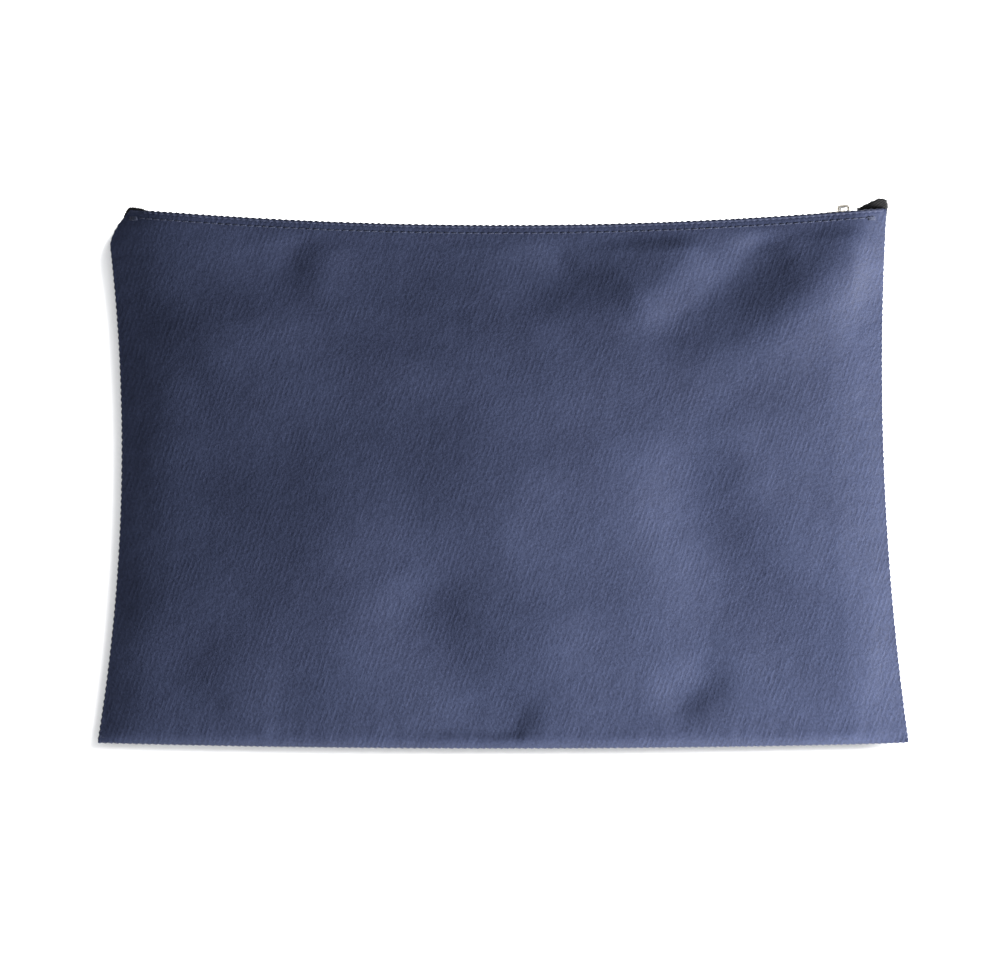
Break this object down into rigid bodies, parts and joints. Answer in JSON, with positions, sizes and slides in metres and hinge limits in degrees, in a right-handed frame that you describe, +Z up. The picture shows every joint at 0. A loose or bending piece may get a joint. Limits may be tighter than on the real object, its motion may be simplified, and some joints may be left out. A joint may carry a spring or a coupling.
{
  "type": "cash deposit bag",
  "caption": "Flat navy cloth pouch with a coil zip along the whole top edge, a nickel slider and folded tape tabs over the zip's ends.",
  "frame": {"origin": "centre of the bag's outline in plan, on the surface it lies on", "axes": "+X along the zip towards its closing end, +Y towards the zip, +Z up out of the front panel"},
  "size_m": [0.3355, 0.2274, 0.0179],
  "materials": {
    "cloth": "woven navy cloth, matt",
    "zip_tape": "woven black tape",
    "zip_coil": "satin black nylon",
    "zip_stop": "moulded black",
    "nickel": "bright nickel plate",
    "spring_steel": "spring steel",
    "thread": "spun sewing thread",
    "coil_thread": "black thread"
  },
  "bodies": {
    "bag": {"back_panel": "cloth", "front_panel": "cloth", "zip_tape_back": "zip_tape", "zip_tape_front_ends": "zip_tape", "coil_back": "zip_coil", "coil_front_ends": "zip_coil", "coil_stitching_back": "coil_thread", "coil_stitching_front_ends": "coil_thread", "topstitch_back": "thread", "topstitch_front_ends": "thread", "top_stop_front": "zip_stop", "top_stop_back": "zip_stop", "bottom_stop": "zip_stop", "end_tab_left": "zip_tape", "end_tab_right": "zip_tape", "back_tack_left": "thread", "back_tack_right": "thread", "seam_allowance_left": "cloth", "seam_thread_left": "thread", "overlock_left": "thread", "seam_allowance_right": "cloth", "seam_thread_right": "thread", "overlock_right": "thread", "seam_allowance_bottom": "cloth", "seam_thread_bottom": "thread", "overlock_bottom": "thread"},
    "mouth": {"front_panel_mouth": "cloth", "zip_tape_front": "zip_tape", "coil_front": "zip_coil", "coil_stitching_front": "coil_thread", "topstitch_front": "thread"},
    "slider": {"slider_body": "nickel", "slider_crown": "nickel", "lock_spring": "spring_steel"},
    "pull": {"pull_tab": "nickel"}
  },
  "joints": [
    {"name": "slider_travel", "type": "hinge", "parent": "bag", "child": "slider", "pos_m": [0, 1.856, 0.0062], "axis": [0, 0, -1], "range_deg": [0, 8.75], "deforming": ["coil_back", "coil_front", "coil_front_ends"]},
    {"name": "mouth_open", "type": "hinge", "parent": "bag", "child": "mouth", "pos_m": [0, 0.0095, 0.0175], "axis": [1, 0, 0], "range_deg": [0, 26]},
    {"name": "pull_swing", "type": "hinge", "parent": "slider", "child": "pull", "pos_m": [0.14108, 0.10819, 0.0062], "axis": [0, 0, -1], "range_deg": [0, 135]}
  ],
  "couplings": [
    {"joint": "mouth_open", "follows": "slider_travel", "ratio": 2.9714}
  ]
}
